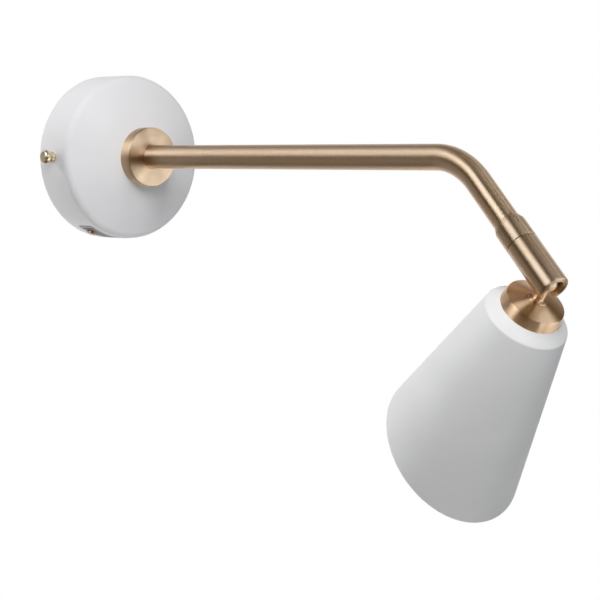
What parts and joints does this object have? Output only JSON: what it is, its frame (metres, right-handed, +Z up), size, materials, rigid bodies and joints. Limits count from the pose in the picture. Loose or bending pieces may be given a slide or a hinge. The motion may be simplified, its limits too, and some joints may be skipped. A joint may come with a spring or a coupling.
{
  "type": "bedside wall reading lamp",
  "caption": "Wall reading lamp: round canopy, brass arm bent 45 degrees down, swivelling knuckle and a tilting slant-cut conical shade.",
  "frame": {"origin": "centre of the canopy's back, on the wall", "axes": "+X right as seen facing the wall, +Y into the wall, +Z up"},
  "size_m": [0.1152, 0.3865, 0.2419],
  "materials": {
    "painted_white": "matt white powder coat",
    "brass": "brushed pale brass, lacquered",
    "copper_screw": "plain turned",
    "zinc_steel": "zinc plated",
    "clear_nylon": "natural nylon",
    "black_nylon": "moulded",
    "lead_sheath": "smooth sheath",
    "ceramic": "glazed ceramic",
    "lamp_plastic": "moulded",
    "lamp_pin_metal": "nickel plated",
    "lamp_lens": "frosted"
  },
  "bodies": {
    "arm": {"canopy": "painted_white", "wall_bracket": "zinc_steel", "side_screws": "brass", "side_screw_ferrules": "brass", "rim_screw": "copper_screw", "rim_screw_nut": "zinc_steel", "earth_screw": "zinc_steel", "earth_washer": "zinc_steel", "terminal_block": "clear_nylon", "terminal_screws": "zinc_steel", "arm_collar": "brass", "arm_nipple": "brass", "nipple_lock_washer": "zinc_steel", "nipple_nut": "zinc_steel", "nipple_bush": "black_nylon", "arm_tube": "brass", "arm_lead": "lead_sheath", "joint_sleeve": "brass", "seam_washer": "black_nylon", "swivel_stud": "brass", "swivel_spring_washer": "zinc_steel", "swivel_nut": "brass"},
    "swivel": {"swivel_fork": "brass", "pivot_screw": "brass", "pivot_bushes": "black_nylon"},
    "head": {"head_stem": "brass", "shade_cap": "brass", "shade": "painted_white", "holder_bracket": "zinc_steel", "spigot_washer": "zinc_steel", "spigot_nut": "zinc_steel", "head_lead": "lead_sheath", "lampholder": "ceramic", "holder_screws": "zinc_steel", "lamp_pins": "lamp_pin_metal", "lamp_body": "lamp_plastic", "lamp_lens": "lamp_lens"}
  },
  "joints": [
    {"name": "head_swivel", "type": "hinge", "parent": "arm", "child": "swivel", "pos_m": [0, -0.35869, -0.04419], "axis": [0, -0.7071, -0.7071], "range_deg": [-169.5, 160.5]},
    {"name": "head_tilt", "type": "hinge", "parent": "swivel", "child": "head", "pos_m": [0, -0.37666, -0.06216], "axis": [0.9969, -0.0555, 0.0555], "range_deg": [-86, 9]}
  ]
}
